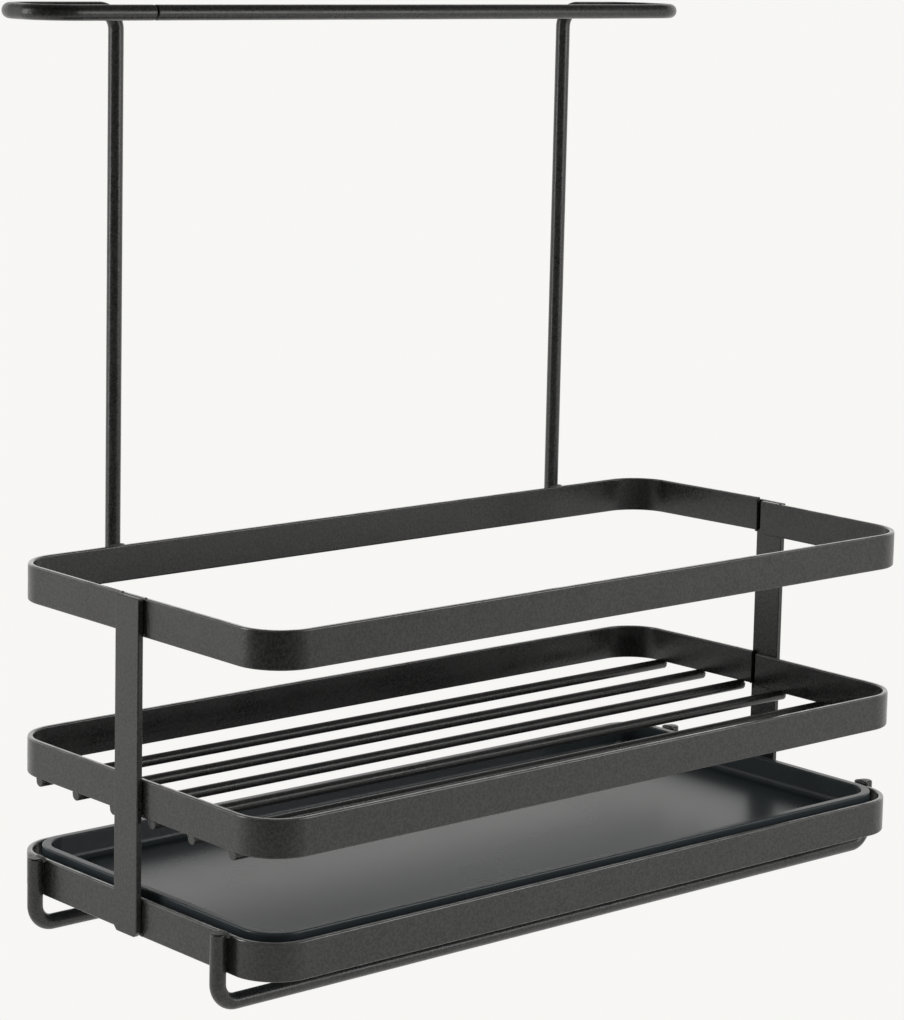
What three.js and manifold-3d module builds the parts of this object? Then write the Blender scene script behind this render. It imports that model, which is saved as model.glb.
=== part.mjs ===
// Dish caddy with a towel bar, welded from flat bar and round wire.
//
// Three rings of flat bar are held one above the other by an upright at each end.
// Six wires under the middle ring make the shelf. Two runners under the bottom ring
// are the feet, and they carry a loose drip tray. Two bent wires, welded to the back
// of the top ring, meet end to end in the towel bar.
//
// Millimetres, +Z up, +X to the right-hand end, -Y to the front. The pieces are laid out
// round the middle of the rings, and then the whole is moved so that the origin is on the
// floor under the middle of its overall box.

import * as THREE from 'three';
import Module from 'manifold-3d';
import { mergeVertices } from 'three/addons/utils/BufferGeometryUtils.js';

// Rings of flat bar, measured over the outside
const RACK_LENGTH = 280;
const RACK_DEPTH = 135;
const CORNER_RADIUS = 15;
const BAND_HEIGHT = 12;
const BAND_WALL = 1.8;

// The two ends of each strip stop short of each other behind the right upright
const SEAM_GAP = 2.4;
const SEAM_SHIFT = 3.4;

// Heights of the rings' lower edges, each above the one below
const BOTTOM_BAND_LIFT = 11.8;
const MIDDLE_BAND_RISE = 37.5;
const TOP_BAND_RISE = 56.3;

// Uprights
const UPRIGHT_WIDTH = 12;
const UPRIGHT_WALL = 2;
const UPRIGHT_CHAMFER = 1.5;

// Round wire of the feet and the towel bar
const FRAME_WIRE = 5;
const FRAME_BEND = 6.5;
const RUNNER_CORNER_MARGIN = 1.8;
const RUNNER_TOP_RISE = 0.8;

// Shelf wires
const SHELF_WIRE = 3.6;
const SHELF_WIRE_COUNT = 6;
const SHELF_CORNER_MARGIN = 0.2;
const SHELF_END_INSET = 0.2;

// Towel bar: legs, height of the bar and its loop
const LEG_INSET = 42;
const LEG_END_RISE = 1;
const BAR_HEIGHT_OVER_TOP_BAND = 174;
const BAR_FORWARD_REACH = 29;
const BAR_LEFT_REACH = 46;
const BAR_RIGHT_REACH = 32;
const LOOP_RADIUS = 12;
const BAR_JOINT_SHIFT = 6;
const BAR_JOINT_GAP = 0.4;

// Drip tray, and the two ribs under its floor that stand on the runners
const TRAY_CLEARANCE = 2.5;
const TRAY_WALL = 3;
const TRAY_FLOOR = 2;
const TRAY_INSIDE_DEPTH = 8.5;
const TRAY_RIM_RISE = 1.5;
const TRAY_CORNER_RADIUS = 12;
const TRAY_RIB_WALL = 3;
const TRAY_RIB_END_DISTANCE = 45;
const TRAY_RIB_PAST_RUNNER = 2;

// Space left between pieces that touch
const WELD_GAP = 0.3;

// Facets
const WIRE_SIDES = 12;
const BEND_STEPS = 6;
const CORNER_STEPS = 5;

// Places worked out from the sizes above
const halfLength = RACK_LENGTH / 2;
const halfDepth = RACK_DEPTH / 2;
const wireRadius = FRAME_WIRE / 2;
const shelfRadius = SHELF_WIRE / 2;
const bottomBandZ = BOTTOM_BAND_LIFT;
const middleBandZ = bottomBandZ + MIDDLE_BAND_RISE;
const topBandZ = middleBandZ + TOP_BAND_RISE;
const topEdgeZ = topBandZ + BAND_HEIGHT;
const runnerY = halfDepth - CORNER_RADIUS - wireRadius - RUNNER_CORNER_MARGIN;
const trayTopZ = bottomBandZ + BAND_HEIGHT + TRAY_RIM_RISE;
const trayFloorZ = trayTopZ - TRAY_INSIDE_DEPTH;
const trayRibFootZ = FRAME_WIRE + WELD_GAP;

const wasm = await Module();
wasm.setup();

const powderCoat = { color: 0x3b3b39, roughness: 0.55, metalness: 0.35 };
const trayPlastic = { color: 0x343a3d, roughness: 0.35, metalness: 0 };

/** A mesh with a name and a material of its own. */
function namedMesh(name, geometry, finish) {
  const mesh = new THREE.Mesh(geometry, new THREE.MeshStandardMaterial(finish));
  mesh.name = name;
  return mesh;
}

/** The route of a bent wire: straight runs between corners that are rounded by arcs. */
class WirePath extends THREE.Curve {
  /** corners: the points where the straight runs would meet; radii: one for each inner corner. */
  constructor(corners, radii = []) {
    super();
    this.points = [corners[0]];
    this.tangents = [corners[1].clone().sub(corners[0]).normalize()];
    radii.forEach((radius, index) => this.addBend(corners.slice(index, index + 3), radius));
    this.points.push(corners.at(-1));
    this.tangents.push(this.tangents.at(-1));
    this.steps = this.points.length - 1;
  }

  addBend([before, corner, after], radius) {
    const incoming = corner.clone().sub(before).normalize();
    const outgoing = after.clone().sub(corner).normalize();
    const angle = incoming.angleTo(outgoing);
    const inward = outgoing.clone().addScaledVector(incoming, -Math.cos(angle)).normalize();
    const centre = corner.clone()
      .addScaledVector(incoming, -radius * Math.tan(angle / 2))
      .addScaledVector(inward, radius);
    for (let step = 0; step <= BEND_STEPS; step += 1) {
      const turned = (angle * step) / BEND_STEPS;
      this.points.push(centre.clone()
        .addScaledVector(inward, -radius * Math.cos(turned))
        .addScaledVector(incoming, radius * Math.sin(turned)));
      this.tangents.push(incoming.clone().multiplyScalar(Math.cos(turned))
        .addScaledVector(inward, Math.sin(turned)));
    }
  }

  getPointAt(fraction, target = new THREE.Vector3()) {
    return target.copy(this.points[Math.round(fraction * this.steps)]);
  }

  getTangentAt(fraction, target = new THREE.Vector3()) {
    return target.copy(this.tangents[Math.round(fraction * this.steps)]);
  }
}

/** The section of a round wire, as a polygon whose flats lie at the wire's radius. */
function wireSection(radius) {
  const reach = radius / Math.cos(Math.PI / WIRE_SIDES);
  const corners = Array.from({ length: WIRE_SIDES }, (_, side) => {
    const angle = ((side + 0.5) * 2 * Math.PI) / WIRE_SIDES;
    return new THREE.Vector2(reach * Math.cos(angle), reach * Math.sin(angle));
  });
  return new THREE.Shape(corners);
}

function bentWire(radius, corners, radii) {
  const path = new WirePath(corners, radii);
  return new THREE.ExtrudeGeometry(wireSection(radius), { steps: path.steps, extrudePath: path });
}

/** Extrudes a shape drawn in X and Y upwards from the height z. */
function standingSolid(shape, z, height) {
  const options = { depth: height, bevelEnabled: false, curveSegments: CORNER_STEPS };
  return new THREE.ExtrudeGeometry(shape, options).translate(0, 0, z);
}

/** One strip of flat bar bent round four corners, open at its seam on the right. */
function bandShape() {
  const alongX = halfLength - CORNER_RADIUS;
  const alongY = halfDepth - CORNER_RADIUS;
  const innerRadius = CORNER_RADIUS - BAND_WALL;
  const seamBack = SEAM_SHIFT + SEAM_GAP / 2;
  const seamFront = SEAM_SHIFT - SEAM_GAP / 2;
  const corners = [[1, 1, 0], [-1, 1, 0.5], [-1, -1, 1], [1, -1, 1.5]];
  const shape = new THREE.Shape();
  shape.moveTo(halfLength, seamBack);
  for (const [sideX, sideY, start] of corners) {
    const from = start * Math.PI;
    shape.absarc(sideX * alongX, sideY * alongY, CORNER_RADIUS, from, from + Math.PI / 2, false);
  }
  shape.lineTo(halfLength, seamFront);
  shape.lineTo(halfLength - BAND_WALL, seamFront);
  for (const [sideX, sideY, start] of corners.reverse()) {
    const to = start * Math.PI;
    shape.absarc(sideX * alongX, sideY * alongY, innerRadius, to + Math.PI / 2, to, true);
  }
  shape.lineTo(halfLength - BAND_WALL, seamBack);
  return shape;
}

function band(name, z) {
  return namedMesh(name, standingSolid(bandShape(), z, BAND_HEIGHT), powderCoat);
}

/** A flat bar on the outside of the rings; side is -1 at the left end and 1 at the right. */
function upright(name, side) {
  const half = UPRIGHT_WIDTH / 2;
  const height = topEdgeZ - bottomBandZ;
  const outline = new THREE.Shape([
    new THREE.Vector2(-half + UPRIGHT_CHAMFER, 0),
    new THREE.Vector2(half - UPRIGHT_CHAMFER, 0),
    new THREE.Vector2(half, UPRIGHT_CHAMFER),
    new THREE.Vector2(half, height),
    new THREE.Vector2(-half, height),
    new THREE.Vector2(-half, UPRIGHT_CHAMFER),
  ]);
  const geometry = new THREE.ExtrudeGeometry(outline, { depth: UPRIGHT_WALL, bevelEnabled: false });
  const acrossAndUp = new THREE.Matrix4().makeBasis(
    new THREE.Vector3(0, 1, 0),
    new THREE.Vector3(0, 0, 1),
    new THREE.Vector3(1, 0, 0),
  );
  geometry.applyMatrix4(acrossAndUp).translate(-UPRIGHT_WALL / 2, 0, 0);
  const mesh = namedMesh(name, geometry, powderCoat);
  mesh.position.set(side * (halfLength + WELD_GAP + UPRIGHT_WALL / 2), 0, bottomBandZ);
  return mesh;
}

/** The shelf wires lie under the middle ring, clear of its rounded corners. */
function shelfWires() {
  const firstY = halfDepth - CORNER_RADIUS - shelfRadius - SHELF_CORNER_MARGIN;
  const pitch = (2 * firstY) / (SHELF_WIRE_COUNT - 1);
  const reach = halfLength - SHELF_END_INSET;
  const z = middleBandZ - WELD_GAP - shelfRadius;
  return Array.from({ length: SHELF_WIRE_COUNT }, (_, index) => {
    const ends = [new THREE.Vector3(-reach, 0, 0), new THREE.Vector3(reach, 0, 0)];
    const wire = namedMesh(`shelf_wire_${index + 1}`, bentWire(shelfRadius, ends), powderCoat);
    wire.position.set(0, -firstY + index * pitch, z);
    return wire;
  });
}

/** A foot: a wire along the floor, turned up at both ends against the bottom ring. */
function runner(name, side) {
  const x = halfLength + WELD_GAP + wireRadius;
  const top = bottomBandZ + BAND_HEIGHT + RUNNER_TOP_RISE;
  const corners = [
    new THREE.Vector3(-x, 0, top),
    new THREE.Vector3(-x, 0, wireRadius),
    new THREE.Vector3(x, 0, wireRadius),
    new THREE.Vector3(x, 0, top),
  ];
  const mesh = namedMesh(name, bentWire(wireRadius, corners, [FRAME_BEND, FRAME_BEND]), powderCoat);
  mesh.position.set(0, side * runnerY, 0);
  return mesh;
}

/** A leg that turns outwards at the top, loops round to the front and ends at endX. */
function hangerWire(name, side, reach, endX) {
  const legX = side * (halfLength - LEG_INSET);
  const loopX = legX + side * reach;
  const barZ = topEdgeZ + BAR_HEIGHT_OVER_TOP_BAND;
  const corners = [
    new THREE.Vector3(legX, 0, topBandZ + LEG_END_RISE),
    new THREE.Vector3(legX, 0, barZ),
    new THREE.Vector3(loopX, 0, barZ),
    new THREE.Vector3(loopX, -BAR_FORWARD_REACH, barZ),
    new THREE.Vector3(endX, -BAR_FORWARD_REACH, barZ),
  ];
  const geometry = bentWire(wireRadius, corners, [FRAME_BEND, LOOP_RADIUS, LOOP_RADIUS]);
  const mesh = namedMesh(name, geometry, powderCoat);
  mesh.position.set(0, halfDepth + WELD_GAP + wireRadius, 0);
  return mesh;
}

function hangerWires() {
  const jointX = -(halfLength - LEG_INSET) - BAR_JOINT_SHIFT;
  return [
    hangerWire('left_hanger_wire', -1, BAR_LEFT_REACH, jointX - BAR_JOINT_GAP / 2),
    hangerWire('right_hanger_wire', 1, BAR_RIGHT_REACH, jointX + BAR_JOINT_GAP / 2),
  ];
}

function roundedRectangle(halfX, halfY, radius) {
  const shape = new THREE.Shape();
  shape.absarc(halfX - radius, halfY - radius, radius, 0, Math.PI / 2, false);
  shape.absarc(-halfX + radius, halfY - radius, radius, Math.PI / 2, Math.PI, false);
  shape.absarc(-halfX + radius, -halfY + radius, radius, Math.PI, 1.5 * Math.PI, false);
  shape.absarc(halfX - radius, -halfY + radius, radius, 1.5 * Math.PI, 2 * Math.PI, false);
  return shape;
}

function toManifold(geometry) {
  const bare = geometry.clone();
  bare.deleteAttribute('normal');
  bare.deleteAttribute('uv');
  const merged = mergeVertices(bare);
  return new wasm.Manifold(new wasm.Mesh({
    numProp: 3,
    vertProperties: new Float32Array(merged.attributes.position.array),
    triVerts: new Uint32Array(merged.index.array),
  }));
}

function toGeometry(solid) {
  const { vertProperties, triVerts } = solid.getMesh();
  const geometry = new THREE.BufferGeometry();
  geometry.setAttribute('position', new THREE.BufferAttribute(new Float32Array(vertProperties), 3));
  geometry.setIndex(new THREE.BufferAttribute(new Uint32Array(triVerts), 1));
  geometry.computeVertexNormals();
  return geometry;
}

/** A rib across the underside of the tray, from its floor down to the runners. */
function trayRib(x) {
  const length = 2 * (runnerY + wireRadius + TRAY_RIB_PAST_RUNNER);
  const height = trayFloorZ - TRAY_FLOOR / 2 - trayRibFootZ;
  const box = new THREE.BoxGeometry(TRAY_RIB_WALL, length, height);
  return toManifold(box.translate(x, 0, trayRibFootZ + height / 2));
}

/** A loose moulded tray that stands on the runners inside the bottom ring. */
function dripTray() {
  const halfX = halfLength - BAND_WALL - TRAY_CLEARANCE;
  const halfY = halfDepth - BAND_WALL - TRAY_CLEARANCE;
  const outside = roundedRectangle(halfX, halfY, TRAY_CORNER_RADIUS);
  const hollow = roundedRectangle(halfX - TRAY_WALL, halfY - TRAY_WALL, TRAY_CORNER_RADIUS - TRAY_WALL);
  const outerHeight = TRAY_INSIDE_DEPTH + TRAY_FLOOR;
  const block = toManifold(standingSolid(outside, trayFloorZ - TRAY_FLOOR, outerHeight));
  const space = toManifold(standingSolid(hollow, trayFloorZ, outerHeight));
  const ribX = halfX - TRAY_RIB_END_DISTANCE;
  const tray = block.subtract(space).add(trayRib(-ribX)).add(trayRib(ribX));
  return namedMesh('drip_tray', toGeometry(tray), trayPlastic);
}

const rack = new THREE.Group();
rack.add(
  band('bottom_band', bottomBandZ),
  band('middle_band', middleBandZ),
  band('top_band', topBandZ),
  upright('left_upright', -1),
  upright('right_upright', 1),
  ...shelfWires(),
  runner('front_runner', -1),
  runner('back_runner', 1),
  ...hangerWires(),
  dripTray(),
);

const overallCentre = new THREE.Box3().setFromObject(rack).getCenter(new THREE.Vector3());
rack.position.set(-overallCentre.x, -overallCentre.y, 0);

export default rack;
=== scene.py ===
"""The finished look of a sink caddy with a towel bar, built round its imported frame.

Three rings of flat bar, two uprights, six shelf rods, two feet and a two-part towel bar are
powder coated and ride on the body "frame". The loose drip tray rides on the body "tray".
Every length is in metres, in the frame's own axes: X to the right-hand end, Y to the back, Z up.
"""

from __future__ import annotations

import logging
import math
from collections.abc import Mapping, Sequence
from dataclasses import dataclass, field, replace
from enum import Enum

import bmesh
import bpy
from bpy.types import ID, Material, Node, NodeSocket, NodeTree, Object
from mathutils import Matrix, Vector


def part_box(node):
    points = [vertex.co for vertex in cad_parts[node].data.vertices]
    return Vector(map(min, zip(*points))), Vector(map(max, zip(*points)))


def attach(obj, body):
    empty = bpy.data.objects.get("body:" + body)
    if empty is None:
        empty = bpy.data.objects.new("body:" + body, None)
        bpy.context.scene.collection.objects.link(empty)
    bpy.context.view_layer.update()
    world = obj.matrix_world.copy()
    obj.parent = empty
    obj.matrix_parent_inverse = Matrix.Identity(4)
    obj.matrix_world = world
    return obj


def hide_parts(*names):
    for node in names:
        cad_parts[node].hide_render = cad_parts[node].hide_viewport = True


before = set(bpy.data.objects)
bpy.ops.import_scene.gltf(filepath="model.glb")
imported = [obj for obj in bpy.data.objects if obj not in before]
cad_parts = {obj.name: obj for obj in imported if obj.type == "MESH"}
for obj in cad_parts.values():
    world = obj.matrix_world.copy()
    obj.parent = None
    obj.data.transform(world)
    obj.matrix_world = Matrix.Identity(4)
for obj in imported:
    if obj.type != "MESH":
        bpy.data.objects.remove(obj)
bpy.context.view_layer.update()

log = logging.getLogger("caddy")

Pair = tuple[float, float]
Triple = tuple[float, float, float]
Sockets = Mapping[str, NodeSocket]

MM = 0.001
PAPER_TINT = (1.0, 0.993, 0.974, 1.0)
SHELF_NODES = tuple(f"shelf_wire_{index}" for index in range(1, 7))
TOWEL_WIRE = 5 * MM
SHARP_ANGLE = math.radians(40)
NORMAL_WEIGHT = 100
RIM_SEGMENTS = 3
UP = Vector((0, 0, 1))
BACK = Vector((0, 1, 0))
RIGHTWARD = Vector((1, 0, 0))


class Body(Enum):
    """The rigid bodies that pieces ride on."""

    FRAME = "frame"
    TRAY = "tray"


class Slot(Enum):
    """The material slots."""

    POWDER_COAT = "powder_coat"
    TRAY_PLASTIC = "tray_plastic"


class End(Enum):
    """The two ends of the rack, as signs along X."""

    LEFT = -1
    RIGHT = 1

    def edge(self, low: Vector, high: Vector) -> float:
        """The X of this end of a box, given its lowest and highest corners."""
        return low.x if self is End.LEFT else high.x

    def outward(self) -> Vector:
        """The direction out of the rack at this end."""
        return Vector((self.value, 0, 0))


def in_scene(name: str, data: ID) -> Object:
    """Makes an object round its data, and links it to the scene."""
    made = bpy.data.objects.new(name, data)
    bpy.context.scene.collection.objects.link(made)
    return made


def weigh_normals(target: Object) -> None:
    """Adds a modifier that lets a piece's large faces set the shading."""
    target.modifiers.new("normals", "WEIGHTED_NORMAL").weight = NORMAL_WEIGHT


# ---- Node trees ----


class Graph:
    """A node tree that is written with one call for each node."""

    def __init__(self, tree: NodeTree) -> None:
        """Starts on a tree.

        Args:
            tree: the node tree that new nodes are added to.
        """
        self.tree = tree

    def add(self, kind: str, inputs: dict | None = None, **settings: object) -> Node:
        """Adds a node and fills its inputs.

        Args:
            kind: the node's type name.
            inputs: for each input's name or index, a value or the socket that feeds it.
            settings: the node's own properties.

        Returns:
            The new node.
        """
        node = self.tree.nodes.new(kind)
        for name, value in settings.items():
            setattr(node, name, value)
        for key, value in (inputs or {}).items():
            if isinstance(value, NodeSocket):
                self.tree.links.new(value, node.inputs[key])
            else:
                node.inputs[key].default_value = value
        return node

    def math(self, operation: str, *values: object, clamp: bool = False) -> NodeSocket:
        """Adds a Math node and returns its result.

        Args:
            operation: the sum to do, such as "MULTIPLY".
            values: its operands, numbers or sockets.
            clamp: whether the result stays between 0 and 1.

        Returns:
            The socket that holds the result.
        """
        operands = dict(enumerate(values))
        return self.add("ShaderNodeMath", operands, operation=operation, use_clamp=clamp).outputs[0]

    def vector(self, operation: str, *values: object) -> Node:
        """Adds a Vector Math node on numbers or sockets, and returns it."""
        return self.add("ShaderNodeVectorMath", dict(enumerate(values)), operation=operation)

    def ramp(self, value: object, low: float, high: float, start: object = 0.0,
             end: object = 1.0) -> NodeSocket:
        """Maps a value smoothly from low..high to start..end.

        Args:
            value: the number or socket to map.
            low: the value that gives start.
            high: the value that gives end.
            start: the result at low.
            end: the result at high.

        Returns:
            The socket that holds the mapped value.
        """
        inputs = {0: value, 1: low, 2: high, 3: start, 4: end}
        node = self.add("ShaderNodeMapRange", inputs, interpolation_type="SMOOTHSTEP")
        return node.outputs[0]

    def noise(self, place: NodeSocket, size: NodeSocket, detail: float,
              roughness: float = 0.5) -> NodeSocket:
        """Adds noise and returns its value.

        Args:
            place: the socket that holds the coordinates.
            size: the socket that holds the size of the noise's features.
            detail: the number of finer layers.
            roughness: the strength of the finer layers.

        Returns:
            The socket that holds the noise.
        """
        inputs = {
            "Vector": place,
            "Scale": self.math("DIVIDE", 1.0, size),
            "Detail": detail,
            "Roughness": roughness,
        }
        return self.add("ShaderNodeTexNoise", inputs).outputs[0]

    def mix(self, factor: object, first: object, second: object) -> NodeSocket:
        """Mixes two colours.

        Args:
            factor: how much of the second colour, a number or a socket.
            first: a colour or the socket that holds one.
            second: a colour or the socket that holds one.

        Returns:
            The socket that holds the mixed colour.
        """
        start, end = (value if isinstance(value, NodeSocket) else (*value, 1.0)
                      for value in (first, second))
        inputs = {0: factor, 6: start, 7: end}
        return self.add("ShaderNodeMix", inputs, data_type="RGBA").outputs[2]

    def upward(self, low: float, high: float) -> NodeSocket:
        """Masks what faces up, from 0 where the normal's Z is low to 1 where it is high."""
        normal = self.add("ShaderNodeNewGeometry").outputs["Normal"]
        facing = self.add("ShaderNodeSeparateXYZ", {0: normal})
        return self.ramp(facing.outputs["Z"], low, high)


class TreeKind(Enum):
    """Kinds of node group."""

    GEOMETRY = "GeometryNodeTree"
    SHADER = "ShaderNodeTree"


@dataclass(frozen=True)
class Plug:
    """One socket of a node group's interface."""

    name: str
    kind: str
    default: object = None


NUMBER = "NodeSocketFloat"
COUNT = "NodeSocketInt"
VECTOR = "NodeSocketVector"
GEOMETRY = "NodeSocketGeometry"
MATERIAL = "NodeSocketMaterial"


def start_group(name: str, kind: TreeKind, inputs: Sequence[Plug],
                outputs: Sequence[Plug]) -> tuple[Graph, Sockets, Node]:
    """Makes a node group with its interface.

    Args:
        name: the group's name.
        kind: geometry or shader.
        inputs: the group's inputs, in order.
        outputs: the group's outputs, in order.

    Returns:
        The graph, the sockets that hold the inputs and the Group Output node.
    """
    tree = bpy.data.node_groups.new(name, kind.value)
    for direction, plugs in (("INPUT", inputs), ("OUTPUT", outputs)):
        for plug in plugs:
            socket = tree.interface.new_socket(plug.name, in_out=direction, socket_type=plug.kind)
            if plug.default is not None:
                socket.default_value = plug.default
    graph = Graph(tree)
    return graph, graph.add("NodeGroupInput").outputs, graph.add("NodeGroupOutput")


# ---- Geometry node trees: bars, wires and weld beads that follow a path ----


def finish_sweep(graph: Graph, mesh: NodeSocket, material: NodeSocket,
                 target: Node) -> None:
    """Ends a geometry tree: smooth shading, instances made real, material set.

    Args:
        graph: the tree's graph.
        mesh: the geometry so far.
        material: the socket that holds the material.
        target: the Group Output node.
    """
    edges = graph.add("GeometryNodeSetShadeSmooth", {0: mesh, 2: True}, domain="EDGE")
    faces = graph.add("GeometryNodeSetShadeSmooth", {0: edges.outputs[0], 2: True}, domain="FACE")
    real = graph.add("GeometryNodeRealizeInstances", {0: faces.outputs[0]})
    painted = graph.add("GeometryNodeSetMaterial", {0: real.outputs[0], "Material": material})
    graph.tree.links.new(painted.outputs[0], target.inputs[0])


def start_sweep(name: str, *plugs: Plug) -> tuple[Graph, Sockets, Node]:
    """Starts a geometry tree that takes a polyline, its own plugs and a material."""
    inputs = [Plug("Geometry", GEOMETRY), *plugs, Plug("Material", MATERIAL)]
    return start_group(name, TreeKind.GEOMETRY, inputs, [Plug("Geometry", GEOMETRY)])


def rounded_route(graph: Graph, given: Sockets) -> NodeSocket:
    """Turns the input's polyline into a curve with arcs of each point's own bend radius.

    Args:
        graph: the tree's graph.
        given: the group's inputs, with Geometry and Bend Steps.

    Returns:
        The socket that holds the curve.
    """
    curve = graph.add("GeometryNodeMeshToCurve", {0: given["Geometry"]})
    bend = graph.add("GeometryNodeInputNamedAttribute", {"Name": "bend"}, data_type="FLOAT")
    fillet_inputs = {
        "Curve": curve.outputs[0],
        "Count": given["Bend Steps"],
        "Radius": bend.outputs[0],
    }
    return graph.add("GeometryNodeFilletCurve", fillet_inputs, mode="POLY").outputs[0]


def sweep_along(graph: Graph, curve: NodeSocket, profile: Node, **more: NodeSocket) -> NodeSocket:
    """Sweeps a profile along a curve, with caps, and returns the mesh."""
    inputs = {"Curve": curve, "Profile Curve": profile.outputs[0], "Fill Caps": True, **more}
    return graph.add("GeometryNodeCurveToMesh", inputs).outputs[0]


def flat_bar_tree() -> NodeTree:
    """A flat bar with rounded edges, stood on edge along a level route.

    Returns:
        The geometry node group.
    """
    graph, given, target = start_sweep(
        "flat_bar_sweep",
        Plug("Wall", NUMBER),
        Plug("Height", NUMBER),
        Plug("Edge Radius", NUMBER),
        Plug("Edge Steps", COUNT, 4),
        Plug("Bend Steps", COUNT, 24),
    )
    route = rounded_route(graph, given)
    level = graph.add("GeometryNodeSetCurveNormal", {0: route}, mode="Z_UP")
    section = graph.add("GeometryNodeCurvePrimitiveQuadrilateral",
                        {"Width": given["Wall"], "Height": given["Height"]})
    rounded = graph.add("GeometryNodeFilletCurve", {
        "Curve": section.outputs[0],
        "Count": given["Edge Steps"],
        "Radius": given["Edge Radius"],
    }, mode="POLY")
    mesh = sweep_along(graph, level.outputs[0], rounded)
    finish_sweep(graph, mesh, given["Material"], target)
    return graph.tree


def round_wire_tree() -> NodeTree:
    """A round wire along a route with bends.

    Returns:
        The geometry node group.
    """
    graph, given, target = start_sweep(
        "round_wire_sweep",
        Plug("Radius", NUMBER),
        Plug("Sides", COUNT, 32),
        Plug("Bend Steps", COUNT, 20),
    )
    route = rounded_route(graph, given)
    section = graph.add("GeometryNodeCurvePrimitiveCircle",
                        {"Resolution": given["Sides"], "Radius": given["Radius"]})
    mesh = sweep_along(graph, route, section)
    finish_sweep(graph, mesh, given["Material"], target)
    return graph.tree


WELD_SIDES = 14
WELD_DOME = 1.02  # just over 1, so that the ends keep a small face
RIPPLE_PITCH = 1.6  # the fine ripples' pitch, relative to the lumps'


def weld_bead_tree() -> NodeTree:
    """Lumpy weld beads that taper at both ends, one along each stroke of the input.

    Returns:
        The geometry node group.
    """
    graph, given, target = start_sweep(
        "weld_bead_sweep",
        Plug("Radius", NUMBER),
        Plug("Step", NUMBER, 0.3 * MM),
        Plug("Ripple Size", NUMBER, 1.2 * MM),
        Plug("Roughness", NUMBER, 0.35),
        Plug("Seed", NUMBER),
    )
    curve = graph.add("GeometryNodeMeshToCurve", {0: given["Geometry"]})
    fine = graph.add("GeometryNodeResampleCurve",
                     {"Curve": curve.outputs[0], "Length": given["Step"]}, mode="LENGTH")
    place = graph.add("GeometryNodeInputPosition")
    pitch = graph.math("DIVIDE", 1.0, given["Ripple Size"])
    lumps = graph.add("ShaderNodeTexNoise", {
        "Vector": place.outputs[0],
        "W": given["Seed"],
        "Scale": pitch,
        "Detail": 2.0,
    }, noise_dimensions="4D")
    along = graph.add("GeometryNodeSplineParameter").outputs["Factor"]
    centred = graph.math("MULTIPLY_ADD", along, 2.0, -1.0)
    dome = graph.math("SQRT", graph.math("SUBTRACT", WELD_DOME, graph.math("POWER", centred, 2.0)))
    swell = graph.math("MULTIPLY_ADD", graph.math("SUBTRACT", lumps.outputs[0], 0.5),
                       given["Roughness"], 1.0)
    size = graph.add("GeometryNodeInputNamedAttribute", {"Name": "size"}, data_type="FLOAT")
    scale = graph.math("MULTIPLY", graph.math("MULTIPLY", dome, swell), size.outputs[0])
    section = graph.add("GeometryNodeCurvePrimitiveCircle",
                        {"Resolution": WELD_SIDES, "Radius": given["Radius"]})
    mesh = sweep_along(graph, fine.outputs[0], section, Scale=scale)
    ripples = graph.add("ShaderNodeTexNoise", {
        "Vector": place.outputs[0],
        "W": given["Seed"],
        "Scale": graph.math("MULTIPLY", pitch, RIPPLE_PITCH),
        "Detail": 1.0,
    }, noise_dimensions="4D")
    lift = graph.math("MULTIPLY", graph.math("SUBTRACT", ripples.outputs[0], 0.5),
                      graph.math("MULTIPLY", given["Radius"], given["Roughness"]))
    outward = graph.add("GeometryNodeInputNormal")
    push = graph.add("ShaderNodeVectorMath", {0: outward.outputs[0], 3: lift}, operation="SCALE")
    moved = graph.add("GeometryNodeSetPosition", {0: mesh, "Offset": push.outputs[0]})
    finish_sweep(graph, moved.outputs[0], given["Material"], target)
    return graph.tree


# ---- Shader groups and finishes ----


PEEL_SHARE = 0.7  # of the height, the rest is grain
SPECKLE_RANGE = (0.35, 0.65)
MOTTLE_RANGE = (0.3, 0.7)
DUST_ROUGHNESS = 0.3


def grain_group() -> NodeTree:
    """Fine sprayed or moulded grain: its height, its speckle and a slow mottling.

    Returns:
        The shader node group.
    """
    inputs = [
        Plug("Vector", VECTOR),
        Plug("Grain Size", NUMBER),
        Plug("Peel Size", NUMBER),
        Plug("Mottle Size", NUMBER),
    ]
    outputs = [Plug("Height", NUMBER), Plug("Speckle", NUMBER), Plug("Mottle", NUMBER)]
    graph, given, target = start_group("surface_grain", TreeKind.SHADER, inputs, outputs)
    place = given["Vector"]
    grain = graph.noise(place, given["Grain Size"], 3.0)
    peel = graph.noise(place, given["Peel Size"], 1.0)
    mottle = graph.noise(place, given["Mottle Size"], 4.0)
    fine = graph.math("MULTIPLY", grain, 1.0 - PEEL_SHARE)
    height = graph.math("MULTIPLY_ADD", peel, PEEL_SHARE, fine)
    graph.tree.links.new(height, target.inputs["Height"])
    graph.tree.links.new(graph.ramp(grain, *SPECKLE_RANGE), target.inputs["Speckle"])
    graph.tree.links.new(graph.ramp(mottle, *MOTTLE_RANGE), target.inputs["Mottle"])
    return graph.tree


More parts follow.
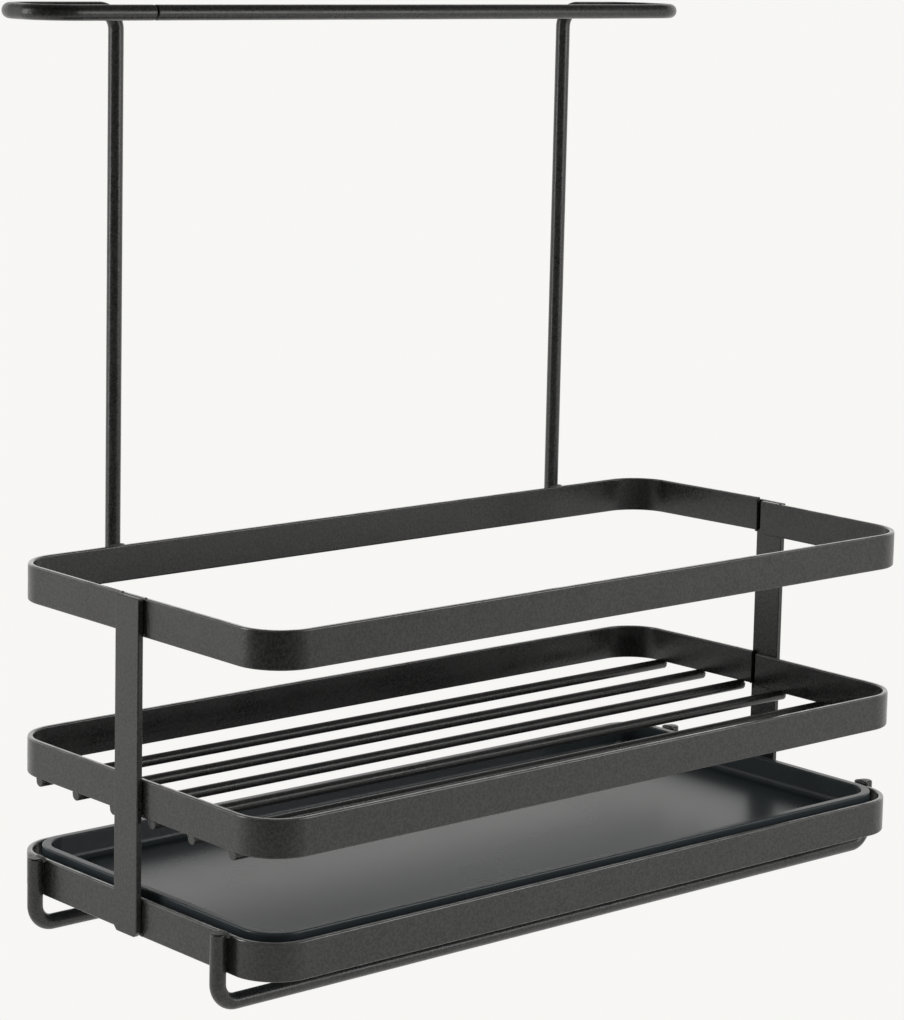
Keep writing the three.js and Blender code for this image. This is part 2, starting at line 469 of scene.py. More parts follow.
@dataclass(frozen=True)
class UpwardMask:
    """A mask of what faces up, broken into patches so that it isn't even."""

    name: str
    slopes: Pair
    patch_size: float
    detail: float
    patch_roughness: float
    breaks: Pair
    least: float = 0.0

    def group(self) -> NodeTree:
        """Builds the shader node group, with Vector in and Mask out.

        Returns:
            The group.
        """
        inputs = [Plug("Vector", VECTOR), Plug("Patch Size", NUMBER, self.patch_size)]
        graph, given, target = start_group(self.name, TreeKind.SHADER, inputs,
                                            [Plug("Mask", NUMBER)])
        patches = graph.noise(given["Vector"], given["Patch Size"],
                              self.detail, self.patch_roughness)
        broken = graph.ramp(patches, *self.breaks, self.least, 1.0)
        mask = graph.math("MULTIPLY", graph.upward(*self.slopes), broken)
        graph.tree.links.new(mask, target.inputs["Mask"])
        return graph.tree


# The up-facing rims that the finishes lighten as a painted highlight and make glossier.
RIM_MASK = UpwardMask("upper_rim", (0.08, 0.5), 6 * MM, 3.0, 0.5, (0.3, 0.6), 0.55)
DUST_MASK = UpwardMask("settled_dust", (0.5, 1.0), 12 * MM, 6.0, 0.7, (0.35, 0.75))


@dataclass(frozen=True)
class ShaderKit:
    """The shader groups that the finishes share."""

    grain: NodeTree
    rim: NodeTree
    dust: NodeTree

    @classmethod
    def build(cls) -> ShaderKit:
        """Makes every group once."""
        return cls(grain_group(), RIM_MASK.group(), DUST_MASK.group())


@dataclass(frozen=True)
class Finish:
    """A coated or moulded surface, as one procedural material."""

    name: str
    colour: Triple
    speckle_and_highlight_colour: Triple
    roughness: float
    roughness_spread: float
    colour_spread: float
    grain_size: float
    peel_size: float
    mottle_size: float
    bump_depth: float
    # how far the up-facing rims are lightened: a painted highlight
    rim_highlight_strength: float = 0.0
    rim_gloss: float = 0.0
    rim_coat: float = 0.0
    coat_roughness: float = 0.0
    dust_amount: float = 0.0
    dust_colour: Triple = (0.32, 0.31, 0.29)

    def material(self, kit: ShaderKit) -> Material:
        """Builds the material.

        Args:
            kit: the shared shader groups.

        Returns:
            The new material.
        """
        material = bpy.data.materials.new(self.name)
        material.use_nodes = True
        material.node_tree.nodes.clear()
        graph = Graph(material.node_tree)
        place = graph.add("ShaderNodeTexCoord").outputs["Object"]
        grain = graph.add("ShaderNodeGroup", {
            "Vector": place,
            "Grain Size": self.grain_size,
            "Peel Size": self.peel_size,
            "Mottle Size": self.mottle_size,
        }, node_tree=kit.grain)
        height, mottle = grain.outputs["Height"], grain.outputs["Mottle"]
        dark = tuple(part * (1.0 - self.colour_spread) for part in self.colour)
        light = tuple(part * (1.0 + self.colour_spread) for part in self.colour)
        speckle = graph.math("MULTIPLY", grain.outputs["Speckle"], self.colour_spread)
        colour = graph.mix(speckle, graph.mix(mottle, dark, light), self.speckle_and_highlight_colour)
        roughness = graph.ramp(mottle, 0.0, 1.0, self.roughness - self.roughness_spread,
                               self.roughness + self.roughness_spread)
        coat = 0.0
        # Up-facing rims are mixed toward the pale colour: a painted highlight. They also get lower
        # roughness and a coat.
        if self.rim_highlight_strength:
            group = graph.add("ShaderNodeGroup", {"Vector": place}, node_tree=kit.rim)
            rim = group.outputs["Mask"]
            rim_highlight = graph.math("MULTIPLY", rim, self.rim_highlight_strength)
            colour = graph.mix(rim_highlight, colour, self.speckle_and_highlight_colour)
            polish = graph.math("MULTIPLY", rim, self.rim_gloss)
            roughness = graph.math("SUBTRACT", roughness, polish)
            if self.rim_coat:
                coat = graph.math("MULTIPLY", rim, self.rim_coat)
                height = graph.math("MULTIPLY", height, graph.math("SUBTRACT", 1.0, coat))
        if self.dust_amount:
            group = graph.add("ShaderNodeGroup", {"Vector": place}, node_tree=kit.dust)
            dust = graph.math("MULTIPLY", group.outputs["Mask"], self.dust_amount)
            colour = graph.mix(dust, colour, self.dust_colour)
            roughness = graph.math("MULTIPLY_ADD", dust, DUST_ROUGHNESS, roughness)
        bump = graph.add("ShaderNodeBump", {
            "Strength": 1.0,
            "Distance": self.bump_depth,
            "Height": height,
        })
        shader = graph.add("ShaderNodeBsdfPrincipled", {
            "Base Color": colour,
            "Roughness": roughness,
            "Coat Weight": coat,
            "Coat Roughness": self.coat_roughness,
            "Normal": bump.outputs[0],
        })
        graph.add("ShaderNodeOutputMaterial", {"Surface": shader.outputs[0]})
        return material


BLACK_POWDER_COAT = Finish(
    name="black_powder_coat",
    colour=(0.0125, 0.0125, 0.0120),
    speckle_and_highlight_colour=(0.17, 0.17, 0.165),
    roughness=0.30,
    roughness_spread=0.04,
    colour_spread=0.16,
    grain_size=0.8 * MM,
    peel_size=1.3 * MM,
    mottle_size=14 * MM,
    bump_depth=0.07 * MM,
    # strong painted highlight on the up-facing rims
    rim_highlight_strength=0.9,
    rim_gloss=0.12,
    rim_coat=0.9,
    coat_roughness=0.12,
    dust_amount=0.02,
)

WIRE_POWDER_COAT = replace(BLACK_POWDER_COAT, name="wire_powder_coat", rim_highlight_strength=0.0)

COATED_WELD = Finish(
    name="coated_weld",
    colour=(0.018, 0.018, 0.0175),
    speckle_and_highlight_colour=(0.16, 0.16, 0.155),
    dust_colour=(0.34, 0.33, 0.31),
    roughness=0.3,
    roughness_spread=0.06,
    colour_spread=0.18,
    grain_size=0.35 * MM,
    peel_size=0.9 * MM,
    mottle_size=5 * MM,
    bump_depth=0.09 * MM,
    # painted highlight on the beads' up-facing parts
    rim_highlight_strength=0.9,
    rim_gloss=0.05,
    dust_amount=0.1,
)

SLATE_TRAY_PLASTIC = Finish(
    name="slate_tray_plastic",
    colour=(0.042, 0.054, 0.060),
    speckle_and_highlight_colour=(0.10, 0.115, 0.12),
    roughness=0.27,
    roughness_spread=0.012,
    colour_spread=0.03,
    grain_size=0.25 * MM,
    peel_size=0.8 * MM,
    mottle_size=70 * MM,
    bump_depth=0.004 * MM,
)


# ---- Making pieces ----


@dataclass(frozen=True)
class Stroke:
    """A line of corner points, with a bend radius or a size for each."""

    points: tuple[Vector, ...]
    values: tuple[float, ...]

    @classmethod
    def bent(cls, points: Sequence[Vector], bend: float | Sequence[float]) -> Stroke:
        """A route whose inner corners are bent, and whose ends are straight.

        Args:
            points: the corners where the straight runs would meet.
            bend: one radius for every inner corner, or one for each.

        Returns:
            The stroke.
        """
        inner = [bend] * (len(points) - 2) if isinstance(bend, (int, float)) else list(bend)
        return cls(tuple(points), (0.0, *inner, 0.0))

    @classmethod
    def bead(cls, start: Vector, end: Vector, size: float = 1.0) -> Stroke:
        """A straight stroke for a weld bead, with a size relative to the tree's radius."""
        return cls((start, end), (size, size))


class Workshop:
    """Makes pieces from strokes and meshes, and hands them to the frame."""

    def __init__(self) -> None:
        """Builds the node trees and the materials."""
        kit = ShaderKit.build()
        self.flat_bar = flat_bar_tree()
        self.round_wire = round_wire_tree()
        self.weld_bead = weld_bead_tree()
        finishes = (BLACK_POWDER_COAT, WIRE_POWDER_COAT, COATED_WELD, SLATE_TRAY_PLASTIC)
        self.materials = {finish: finish.material(kit) for finish in finishes}

    def sweep(self, name: str, tree: NodeTree, strokes: Sequence[Stroke],
              finish: Finish, rim: float = 0.0, attribute: str = "bend",
              **sizes: float) -> Object:
        """Runs a geometry tree along strokes and keeps the result as a plain mesh.

        Args:
            name: the piece's name.
            tree: the geometry node group.
            strokes: the routes, as corner points.
            finish: the surface.
            rim: the width of the bevel on sharp rims, or 0 for none.
            attribute: the name under which the tree reads the strokes' values.
            sizes: the tree's inputs by name, with underscores for spaces.

        Returns:
            The new object, at the origin.
        """
        lines = bpy.data.meshes.new(name + "_lines")
        points = [point for stroke in strokes for point in stroke.points]
        edges, first = [], 0
        for stroke in strokes:
            edges += [(first + i, first + i + 1) for i in range(len(stroke.points) - 1)]
            first += len(stroke.points)
        lines.from_pydata(points, edges, [])
        values = [value for stroke in strokes for value in stroke.values]
        lines.attributes.new(attribute, "FLOAT", "POINT").data.foreach_set("value", values)
        maker = in_scene(name + "_maker", lines)
        modifier = maker.modifiers.new("sweep", "NODES")
        modifier.node_group = tree
        sockets = {item.name: item.identifier for item in tree.interface.items_tree
                   if item.in_out == "INPUT"}
        modifier[sockets["Material"]] = self.materials[finish]
        for key, value in sizes.items():
            modifier[sockets[key.replace("_", " ").title()]] = value
        if rim:
            self.soften(maker, rim)
        return self.keep(maker, name)

    @staticmethod
    def soften(maker: Object, width: float) -> None:
        """Adds a bevel of some width on sharp edges, and area-weighted normals."""
        bevel = maker.modifiers.new("rim", "BEVEL")
        bevel.width = width
        bevel.segments = RIM_SEGMENTS
        bevel.limit_method = "ANGLE"
        bevel.angle_limit = SHARP_ANGLE
        weigh_normals(maker)

    @staticmethod
    def keep(maker: Object, name: str) -> Object:
        """Turns an object with modifiers into a plain mesh object.

        Args:
            maker: the object to evaluate, which is then removed.
            name: the new object's name.

        Returns:
            The new object, at the origin.
        """
        bpy.context.view_layer.update()
        graph = bpy.context.evaluated_depsgraph_get()
        mesh = bpy.data.meshes.new_from_object(maker.evaluated_get(graph), depsgraph=graph,
                                               preserve_all_data_layers=True)
        rough = maker.data
        bpy.data.objects.remove(maker)
        bpy.data.meshes.remove(rough)
        mesh.name = name
        return in_scene(name, mesh)

    def solid(self, name: str, shape: bmesh.types.BMesh, finish: Finish,
              rim: float = 0.0) -> Object:
        """Makes a piece from mesh code, with its sharp edges rounded.

        Args:
            name: the piece's name.
            shape: the closed mesh, which is freed.
            finish: the surface.
            rim: the bevel's width, or 0 for none.

        Returns:
            The new object, at the origin.
        """
        bmesh.ops.recalc_face_normals(shape, faces=shape.faces)
        for face in shape.faces:
            face.smooth = True
        mesh = bpy.data.meshes.new(name + "_rough")
        shape.to_mesh(mesh)
        shape.free()
        mesh.materials.append(self.materials[finish])
        maker = in_scene(name + "_maker", mesh)
        if rim:
            self.soften(maker, rim)
        return self.keep(maker, name)

    @staticmethod
    def place(piece: Object, *nodes: str, body: Body = Body.FRAME,
              slot: Slot = Slot.POWDER_COAT) -> None:
        """Says what a finished piece rides on and what it replaces.

        Args:
            piece: the finished object.
            nodes: the CAD nodes that it stands for.
            body: the body that it moves with.
            slot: not used.
        """
        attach(piece, body.value)
        if nodes:
            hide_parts(*nodes)
        faces = len(piece.data.polygons)
        log.info("%s: %d faces, on %s, for %s", piece.name, faces, body.value, nodes or "no node")


def span(node: str) -> tuple[Vector, Vector, Vector]:
    """A CAD node's lowest corner, highest corner and middle."""
    low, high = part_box(node)
    return low, high, (low + high) / 2


# ---- Sub-assemblies ----


@dataclass
class Ring:
    """A strip of flat bar bent into a rounded rectangle, open at its seam on the right."""

    node: str
    name: str
    wall: float = 1.8 * MM
    corner_radius: float = 15 * MM
    seam_gap: float = 1.7 * MM
    seam_shift: float = 3.4 * MM
    seam_rise: float = 0.0
    edge_radius: float = 0.55 * MM
    rim: float = 0.3 * MM

    def build(self, shop: Workshop) -> None:
        """Builds the ring in place of its CAD node.

        Args:
            shop: makes the piece.
        """
        low, high, middle = span(self.node)
        reach = self.wall / 2
        seam_y = middle.y + self.seam_shift
        right, left = high.x - reach, low.x + reach
        back, front = high.y - reach, low.y + reach
        corners = [
            (right, seam_y + self.seam_gap / 2), (right, back), (left, back),
            (left, front), (right, front), (right, seam_y - self.seam_gap / 2),
        ]
        points = [Vector((x, y, middle.z)) for x, y in corners]
        points[0].z += self.seam_rise
        route = Stroke.bent(points, self.corner_radius - reach)
        piece = shop.sweep(self.name, shop.flat_bar, [route], BLACK_POWDER_COAT, self.rim,
                           wall=self.wall, height=high.z - low.z, edge_radius=self.edge_radius)
        shop.place(piece, self.node)


@dataclass
class Upright:
    """A flat bar on the outside of the rings, with its lower corners cut off."""

    node: str
    name: str
    chamfer: float = 1.5 * MM
    edge_radius: float = 0.35 * MM

    def build(self, shop: Workshop) -> None:
        """Builds the upright in place of its CAD node.

        Args:
            shop: makes the piece.
        """
        low, high, _ = span(self.node)
        outline = [
            (low.y + self.chamfer, low.z), (high.y - self.chamfer, low.z),
            (high.y, low.z + self.chamfer), (high.y, high.z),
            (low.y, high.z), (low.y, low.z + self.chamfer),
        ]
        shape = bmesh.new()
        near = shape.faces.new([shape.verts.new((low.x, y, z)) for y, z in outline])
        grown = bmesh.ops.extrude_face_region(shape, geom=[near])
        moved = [item for item in grown["geom"] if isinstance(item, bmesh.types.BMVert)]
        bmesh.ops.translate(shape, verts=moved, vec=(high.x - low.x, 0, 0))
        piece = shop.solid(self.name, shape, WIRE_POWDER_COAT, self.edge_radius)
        shop.place(piece, self.node)


@dataclass
class Shelf:
    """The wires that lie side by side under the middle ring."""

    nodes: tuple[str, ...] = SHELF_NODES
    sink: float = 1.3 * MM
    rim: float = 0.35 * MM

    def build(self, shop: Workshop) -> None:
        """Builds every shelf rod.

        Args:
            shop: makes the pieces.
        """
        for index, node in enumerate(self.nodes, start=1):
            low, high, middle = span(node)
            ends = [Vector((x, middle.y, middle.z + self.sink)) for x in (low.x, high.x)]
            rod = shop.sweep(f"shelf_rod_{index}", shop.round_wire, [Stroke.bent(ends, 0.0)],
                             WIRE_POWDER_COAT, self.rim, radius=(high.z - low.z) / 2)
            shop.place(rod, node)


@dataclass
class Foot:
    """A wire along the floor, turned up at both ends against the bottom ring."""

    node: str
    name: str
    bend: float = 6.5 * MM
    rim: float = 0.6 * MM

    def build(self, shop: Workshop) -> None:
        """Builds the foot in place of its CAD node.

        Args:
            shop: makes the piece.
        """
        low, high, middle = span(self.node)
        radius = (high.y - low.y) / 2
        left, right, run = low.x + radius, high.x - radius, low.z + radius
        corners = [(left, high.z), (left, run), (right, run), (right, high.z)]
        route = Stroke.bent([Vector((x, middle.y, z)) for x, z in corners], self.bend)
        piece = shop.sweep(self.name, shop.round_wire, [route], WIRE_POWDER_COAT, self.rim,
                           radius=radius)
        shop.place(piece, self.node)


@dataclass
class TowelBar:
    """Two bent wires on the back of the top ring that meet end to end in the front bar."""

    left_node: str = "left_hanger_wire"
    right_node: str = "right_hanger_wire"
    ring_node: str = "top_band"
    wire: float = TOWEL_WIRE
    joint_gap: float = 0.4 * MM
    leg_bend: float = 6.5 * MM
    loop_radius: float = 12 * MM
    rim: float = 0.5 * MM

    def build(self, shop: Workshop) -> None:
        """Builds both wires.

        Args:
            shop: makes the pieces.
        """
        ring_middle = span(self.ring_node)[2].x
        radius = self.wire / 2
        leg_reach = abs(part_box(self.left_node)[1].x - radius - ring_middle)
        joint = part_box(self.right_node)[0].x
        for end, node, stop in ((End.LEFT, self.left_node, joint - self.joint_gap),
                                (End.RIGHT, self.right_node, joint)):
            low, high, _ = span(node)
            leg = ring_middle + end.value * leg_reach
            loop = end.edge(low, high) - end.value * radius
            bar_z, back, front = high.z - radius, high.y - radius, low.y + radius
            corners = [
                Vector((leg, back, low.z)), Vector((leg, back, bar_z)),
                Vector((loop, back, bar_z)), Vector((loop, front, bar_z)),
                Vector((stop, front, bar_z)),
            ]
            route = Stroke.bent(corners, (self.leg_bend, self.loop_radius, self.loop_radius))
            piece = shop.sweep(f"{end.name.lower()}_towel_wire", shop.round_wire, [route],
                               WIRE_POWDER_COAT, self.rim, radius=radius)
            shop.place(piece, node)


@dataclass(frozen=True)
class Tack:
    """A short bead: how far it stands out, how far below a corner it lies, and its size."""

    out: float
    drop: float
    length: float
    size: float

    def stroke(self, corner: Vector, outward: Vector, along: Vector, before: float = 0.0) -> Stroke:
        """Lays the bead.

        Args:
            corner: the point that it is placed from.
            outward: the unit direction away from the surface.
            along: the bead's unit direction.
            before: the share of the bead that lies before the corner.

        Returns:
            The bead's stroke.
        """
        start = corner + outward * self.out - UP * self.drop - along * (before * self.length)
        return Stroke.bead(start, start + along * self.length, self.size)


@dataclass
class Welds:
    """Beads where the wires and bars are welded together."""

    wire: float = TOWEL_WIRE
    bead: float = 0.75 * MM
    ring_tack: Tack = Tack(0.0, -0.1 * MM, 1.4 * MM, 0.7)
    top_tack: Tack = Tack(-0.5 * MM, 0.3 * MM, 0.7 * MM, 0.65)
    foot_caps: tuple[Tack, ...] = (
        Tack(0.9 * MM, 0.7 * MM, 6.4 * MM, 1.5),
        Tack(2.6 * MM, 1.1 * MM, 4.6 * MM, 1.6),
    )
    near_drip: Tack = Tack(0.1 * MM, 0.5 * MM, 2.6 * MM, 0.85)
    far_drip: Tack = Tack(0.1 * MM, 0.2 * MM, 2.6 * MM, 0.85)
    drip_offset: float = 1.5 * MM
    leg_cap: Tack = Tack(0.0, 0.3 * MM, 6 * MM, 1.1)
    leg_side: Tack = Tack(0.3 * MM, 0.5 * MM, 10 * MM, 0.9)
    leg_side_offset: float = 1.7 * MM

    def build(self, shop: Workshop) -> None:
        """Builds the welds of every joint.

        Args:
            shop: makes the pieces.
        """
        jobs = {
            "upright_welds": self.upright_strokes(),
            "foot_welds": self.foot_strokes(),
            "shelf_welds": self.shelf_strokes(),
            "leg_welds": self.leg_strokes(),
        }
        for seed, (name, strokes) in enumerate(jobs.items(), start=1):
            piece = shop.sweep(name, shop.weld_bead, strokes, COATED_WELD, attribute="size",
                               radius=self.bead, seed=float(seed))
            shop.place(piece)

    def upright_strokes(self) -> list[Stroke]:
        """Short tacks at the rings' edges, on both sides of each upright."""
        strokes = []
        for end, node in ((End.LEFT, "left_upright"), (End.RIGHT, "right_upright")):
            low, high, _ = span(node)
            for ring in ("bottom_band", "middle_band", "top_band"):
                ring_low, ring_high, _ = span(ring)
                face = end.edge(ring_low, ring_high)
                for y in (low.y, high.y):
                    corner = Vector((face, y, ring_low.z))
                    strokes.append(self.ring_tack.stroke(corner, end.outward(), UP))
                    if ring == "top_band":
                        corner = Vector((face, y, ring_high.z))
                        strokes.append(self.top_tack.stroke(corner, end.outward(), UP))
        return strokes

    def foot_strokes(self) -> list[Stroke]:
        """A lumpy cap over the top of each foot's upturned end."""
        strokes = []
        ring_low, ring_high, _ = span("bottom_band")
        for node in ("front_runner", "back_runner"):
            _, high, middle = span(node)
            for end in End:
                corner = Vector((end.edge(ring_low, ring_high), middle.y, high.z))
                strokes += [cap.stroke(corner, end.outward(), BACK, 0.5) for cap in self.foot_caps]
        return strokes

    def shelf_strokes(self) -> list[Stroke]:
        """Small drips on both sides of every shelf rod's end, under the middle ring."""
        strokes = []
        ring_low = span("middle_band")[0]
        for node in SHELF_NODES:
            low, high, middle = span(node)
            for end in End:
                for side, drip in ((-1, self.near_drip), (1, self.far_drip)):
                    corner = Vector((end.edge(low, high), middle.y + side * self.drip_offset,
                                     ring_low.z))
                    strokes.append(drip.stroke(corner, end.outward(), -end.outward()))
        return strokes

    def leg_strokes(self) -> list[Stroke]:
        """Beads down both sides of each towel bar leg, on the back of the top ring."""
        strokes = []
        _, ring_high, ring_middle = span("top_band")
        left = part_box("left_hanger_wire")[1].x - self.wire / 2
        for leg in (left, 2 * ring_middle.x - left):
            for side in (-1, 1):
                corner = Vector((leg + side * self.leg_side_offset, ring_high.y, ring_high.z))
                strokes.append(self.leg_side.stroke(corner, BACK, UP, 1.0))
            corner = Vector((leg, ring_high.y, ring_high.z))
            strokes.append(self.leg_cap.stroke(corner, BACK, RIGHTWARD, 0.5))
        return strokes


@dataclass
class DripTray:
    """A moulded tray with a flat lip, a coved floor and two ribs underneath."""

    node: str = "drip_tray"
    name: str = "tray_moulding"
    wall: float = 3 * MM
    floor: float = 2 * MM
    inside_depth: float = 8.5 * MM
    corner_radius: float = 12 * MM
    lip_round: float = 0.5 * MM
    cove: float = 2.2 * MM
    foot_round: float = 1.6 * MM
    rib_wall: float = 3 * MM
    rib_end_distance: float = 45 * MM
    rib_inset: float = 10.5 * MM
    rib_rim: float = 0.5 * MM
    under_flat: float = 4 * MM
    floor_flat: float = 6 * MM
    least_radius: float = 1 * MM
    arc_steps: int = 14
    round_steps: int = 5

    def build(self, shop: Workshop) -> None:
        """Builds the tray in place of its CAD node.

        Args:
            shop: makes the piece.
        """
        shape = bmesh.new()
        low, high, _ = span(self.node)
        loops = [self.loop(shape, inset, z) for inset, z in self.section(high.z)]
        for outer, inner in zip(loops, loops[1:]):
            count = len(outer)
            for index in range(count):
                after = (index + 1) % count
                shape.faces.new((outer[index], outer[after], inner[after], inner[index]))
        shape.faces.new(loops[0])
        shape.faces.new(reversed(loops[-1]))
        tray = shop.solid(self.name, shape, SLATE_TRAY_PLASTIC)
        for end in End:
            tray = self.add_rib(shop, tray, end, low.z, high.z - self.inside_depth - self.floor)
        weigh_normals(tray)
        piece = shop.keep(tray, self.name)
        shop.place(piece, self.node, body=Body.TRAY, slot=Slot.TRAY_PLASTIC)

    def section(self, rim_z: float) -> list[Pair]:
        """The tray's section as inset from the outside and height, from underside to floor.

        Args:
            rim_z: the height of the lip.

        Returns:
            Pairs of inset and height, from the middle of the underside to the middle of the floor.
        """
        floor_z = rim_z - self.inside_depth
        under_z = floor_z - self.floor

        def arc(centre_inset: float, centre_z: float, radius: float, start: float,
                stop: float) -> list[Pair]:
            """Points of an arc, with angles in degrees from the inward direction to up."""
            angles = [math.radians(start + (stop - start) * step / self.round_steps)
                      for step in range(self.round_steps + 1)]
            return [(centre_inset + radius * math.cos(a), centre_z + radius * math.sin(a))
                    for a in angles]

        foot, lip, cove = self.foot_round, self.lip_round, self.cove
        points = [(foot + self.under_flat, under_z)]
        points += arc(foot, under_z + foot, foot, 270, 180)
        points += arc(lip, rim_z - lip, lip, 180, 90)
        points += arc(self.wall - lip, rim_z - lip, lip, 90, 0)
        points += arc(self.wall + cove, floor_z + cove, cove, 180, 270)
        points += [(self.wall + cove + self.floor_flat, floor_z)]
        return points

    def loop(self, shape: bmesh.types.BMesh, inset: float, z: float) -> list[bmesh.types.BMVert]:
        """A rounded rectangle inside the tray's outline.

        Args:
            shape: the mesh that gets the vertices.
            inset: how far inside the outline it lies.
            z: its height.

        Returns:
            The vertices, anticlockwise from above.
        """
        low, high, _ = span(self.node)
        radius = max(self.corner_radius - inset, self.least_radius)
        vertices = []
        corners = [(high.x, high.y, 1, 1), (low.x, high.y, -1, 1),
                   (low.x, low.y, -1, -1), (high.x, low.y, 1, -1)]
        for quarter, (x, y, side_x, side_y) in enumerate(corners):
            centre_x = x - side_x * (inset + radius)
            centre_y = y - side_y * (inset + radius)
            for step in range(self.arc_steps + 1):
                angle = (quarter + step / self.arc_steps) * math.pi / 2
                vertices.append(shape.verts.new((centre_x + radius * math.cos(angle),
                                                 centre_y + radius * math.sin(angle), z)))
        return vertices

    def add_rib(self, shop: Workshop, tray: Object, end: End, foot_z: float,
                under_z: float) -> Object:
        """Joins one of the ribs that stand on the feet to the underside.

        Args:
            shop: makes the rib.
            tray: the tray that gets it, as a union.
            end: the end of the tray that it is near.
            foot_z: the rib's lower edge.
            under_z: the tray's underside.

        Returns:
            The joined tray.
        """
        low, high, middle = span(self.node)
        depth = high.y - low.y - 2 * self.rib_inset
        size = (self.rib_wall, depth, under_z - foot_z + self.floor / 2)
        centre = (end.edge(low, high) - end.value * self.rib_end_distance, middle.y,
                  foot_z + size[2] / 2)
        shape = bmesh.new()
        bmesh.ops.create_cube(shape, size=1.0,
                              matrix=Matrix.Translation(centre) @ Matrix.Diagonal((*size, 1.0)))
        rib = shop.solid(f"{end.name.lower()}_rib", shape, SLATE_TRAY_PLASTIC, self.rib_rim)
        union = tray.modifiers.new("rib", "BOOLEAN")
        union.operation = "UNION"
        union.solver = "EXACT"
        union.object = rib
        joined = shop.keep(tray, self.name)
        bpy.data.objects.remove(rib)
        return joined


# ---- Studio ----


@dataclass(frozen=True)
class Softbox:
    """A flat lamp that faces the rack."""

    name: str
    centre: Triple
    width: float
    height: float
    radiance: float

    def build(self, target: Vector) -> None:
        """Hangs the lamp.

        Args:
            target: the point that it faces.
        """
        data = bpy.data.lights.new(self.name, "AREA")
        data.shape = "RECTANGLE"
        data.size, data.size_y = self.width, self.height
        data.energy = self.radiance * math.pi * self.width * self.height
        lamp = in_scene(self.name, data)
        centre = Vector(self.centre)
        turn = (target - centre).to_track_quat("-Z", "Y").to_matrix().to_4x4()
        lamp.matrix_world = Matrix.Translation(centre) @ turn
        lamp.visible_camera = False


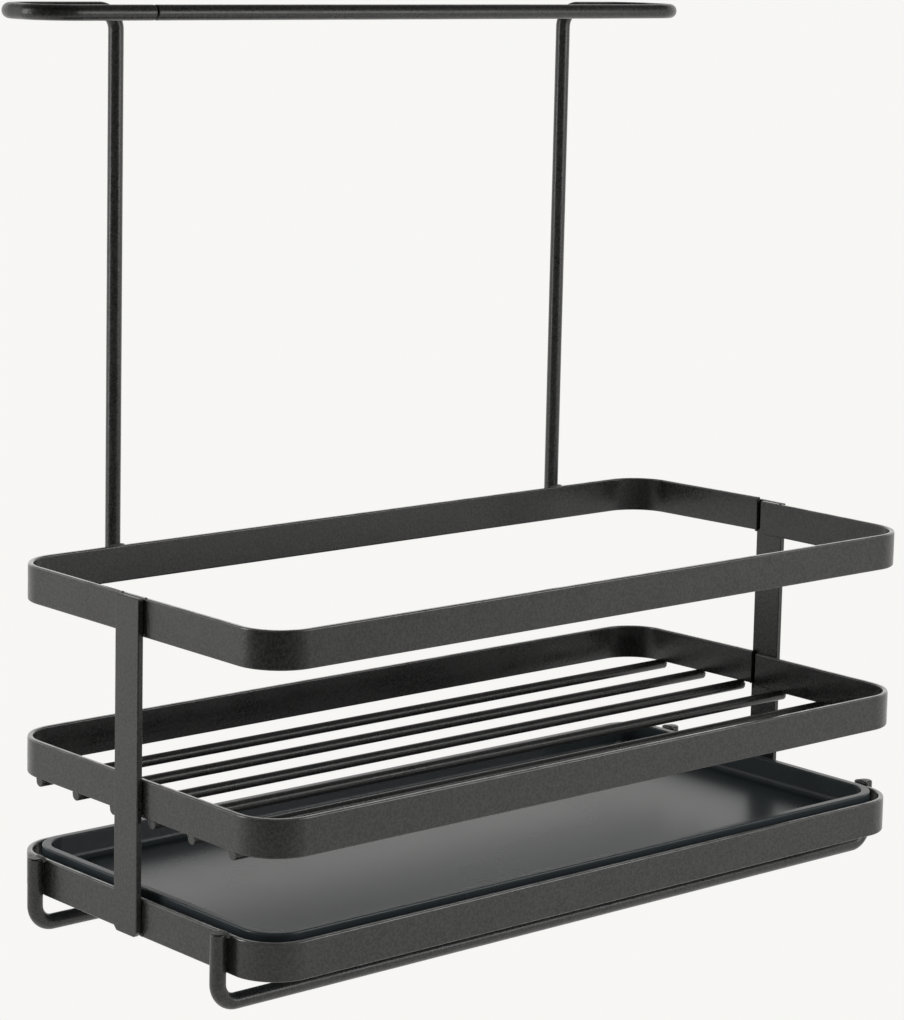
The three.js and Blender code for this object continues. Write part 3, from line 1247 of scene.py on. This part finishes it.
@dataclass(frozen=True)
class Studio:
    """A white table, a bright backdrop, two softboxes and the camera."""

    eye: Triple = (-0.6958, -0.7803, 0.3211)
    yaw: float = 41.30
    pitch: float = 8.24
    roll: float = 1.24
    focal_length: float = 113.1
    shift_y: float = -0.12
    table_half: float = 60.0
    paper_white: float = 0.93
    table_light: float = 1.0
    table_fade: Pair = (-0.50, -0.12)
    footprint: Triple = (0.15, 0.075, 1.0)
    contact_reach: float = 0.10
    contact_shade: float = 0.88
    backdrop: float = 1.0
    backdrop_turn: Pair = (-0.35, 0.45)
    camera_side: float = 0.14
    ceiling: float = 0.14
    ceiling_rise: Pair = (0.3, 0.7)
    target: Triple = (0.0, 0.0, 0.15)
    sensor_width: float = 36.0
    clip: Pair = (0.01, 200.0)
    softboxes: tuple[Softbox, ...] = (
        Softbox("front_softbox", (0.45, -0.80, 0.32), 0.55, 0.42, 3.4),
        Softbox("left_strip_light", (-0.80, 0.41, 0.34), 0.26, 0.70, 4.5),
    )

    def build(self) -> None:
        """Builds the table, the backdrop, the lamps and the camera."""
        self.table()
        self.world()
        for softbox in self.softboxes:
            softbox.build(Vector(self.target))
        self.camera()

    def away(self) -> Vector:
        """The level direction from the camera to the rack."""
        turn = math.radians(self.yaw)
        return Vector((math.sin(turn), math.cos(turn), 0.0))

    def seen_or_cast(self, graph: Graph, cast: object) -> NodeSocket:
        """A strength that is paper white to the camera and something else to every other ray.

        Args:
            graph: the graph of the world or of the table's material.
            cast: the strength for the other rays, a number or a socket.

        Returns:
            The socket that holds the strength.
        """
        path = graph.add("ShaderNodeLightPath").outputs["Is Camera Ray"]
        inputs = {0: path, 2: cast, 3: self.paper_white}
        return graph.add("ShaderNodeMix", inputs, data_type="FLOAT").outputs[0]

    def table(self) -> None:
        """A wide white table that glows softly, so that nothing casts a hard shadow. Round the
        rack's footprint its glow is dimmed for every ray but the camera's: a painted contact
        shadow.
        """
        shape = bmesh.new()
        bmesh.ops.create_grid(shape, x_segments=1, y_segments=1, size=self.table_half)
        mesh = bpy.data.meshes.new("light_table")
        shape.to_mesh(mesh)
        shape.free()
        table = in_scene("light_table", mesh)
        material = bpy.data.materials.new("white_acrylic")
        material.use_nodes = True
        shader = material.node_tree.nodes["Principled BSDF"]
        matt = {
            "Base Color": (0.0, 0.0, 0.0, 1.0),
            "Roughness": 1.0,
            "Specular IOR Level": 0.0,
            "Emission Color": PAPER_TINT,
        }
        for name, value in matt.items():
            shader.inputs[name].default_value = value
        graph = Graph(material.node_tree)
        place = graph.add("ShaderNodeTexCoord").outputs["Object"]
        depth = graph.vector("DOT_PRODUCT", place, self.away()).outputs["Value"]
        away = graph.ramp(depth, *self.table_fade, self.camera_side, self.table_light)
        size = graph.vector("ABSOLUTE", place).outputs[0]
        past = graph.vector("SUBTRACT", size, self.footprint).outputs[0]
        outside = graph.vector("MAXIMUM", past, (0.0, 0.0, 0.0)).outputs[0]
        gap = graph.vector("LENGTH", outside).outputs["Value"]
        # dimmer glow close round the rack: painted contact shadow
        shade = graph.ramp(gap, 0.0, self.contact_reach, self.contact_shade, 1.0)
        cast = graph.math("MULTIPLY", away, shade)
        graph.tree.links.new(self.seen_or_cast(graph, cast), shader.inputs["Emission Strength"])
        mesh.materials.append(material)
        log.info("light_table: %.0f m across", 2 * self.table_half)

    def world(self) -> None:
        """A bright backdrop behind the rack, with a dim ceiling and a dim room in front of it."""
        world = bpy.data.worlds.new("studio_surround")
        world.use_nodes = True
        world.node_tree.nodes.clear()
        graph = Graph(world.node_tree)
        direction = graph.add("ShaderNodeTexCoord").outputs["Generated"]
        facing = graph.vector("DOT_PRODUCT", direction, self.away()).outputs["Value"]
        level = graph.ramp(facing, *self.backdrop_turn, self.camera_side, self.backdrop)
        height = graph.add("ShaderNodeSeparateXYZ", {0: direction}).outputs["Z"]
        share = graph.ramp(height, *self.ceiling_rise, 1.0, self.ceiling)
        strength = self.seen_or_cast(graph, graph.math("MULTIPLY", level, share))
        background = graph.add("ShaderNodeBackground", {"Color": PAPER_TINT, "Strength": strength})
        graph.add("ShaderNodeOutputWorld", {"Surface": background.outputs[0]})
        bpy.context.scene.world = world
        bpy.context.scene.view_settings.view_transform = "Standard"

    def camera(self) -> None:
        """The camera: to the left of the front, level with the towel bar, looking down a little."""
        data = bpy.data.cameras.new("studio_camera")
        data.lens = self.focal_length
        data.sensor_width = self.sensor_width
        data.shift_y = self.shift_y
        data.clip_start, data.clip_end = self.clip
        camera = in_scene("studio_camera", data)
        tilt = Matrix.Rotation(math.radians(90 - self.pitch), 4, "X")
        turn = Matrix.Rotation(math.radians(-self.yaw), 4, "Z")
        roll = Matrix.Rotation(math.radians(self.roll), 4, "Z")
        camera.matrix_world = Matrix.Translation(self.eye) @ turn @ tilt @ roll
        bpy.context.scene.camera = camera


@dataclass
class Caddy:
    """The whole rack, sub-assembly by sub-assembly."""

    rings: tuple[Ring, ...] = field(default_factory=lambda: (
        Ring("bottom_band", "bottom_ring"),
        Ring("middle_band", "middle_ring", seam_rise=0.8 * MM),
        Ring("top_band", "top_ring", seam_rise=1.1 * MM),
    ))
    uprights: tuple[Upright, ...] = field(default_factory=lambda: (
        Upright("left_upright", "left_post"),
        Upright("right_upright", "right_post"),
    ))
    feet: tuple[Foot, ...] = field(default_factory=lambda: (
        Foot("front_runner", "front_foot_wire"),
        Foot("back_runner", "back_foot_wire"),
    ))
    shelf: Shelf = field(default_factory=Shelf)
    towel_bar: TowelBar = field(default_factory=TowelBar)
    welds: Welds = field(default_factory=Welds)
    tray: DripTray = field(default_factory=DripTray)

    def build(self, shop: Workshop) -> None:
        """Builds every sub-assembly in order.

        Args:
            shop: makes the pieces.
        """
        for part in (*self.rings, *self.uprights, self.shelf, *self.feet, self.towel_bar,
                     self.welds, self.tray):
            part.build(shop)


def main() -> None:
    """Builds the studio and the caddy."""
    logging.basicConfig(level=logging.INFO, format="%(name)s %(message)s")
    Studio().build()
    Caddy().build(Workshop())


if __name__ == "__main__":
    main()
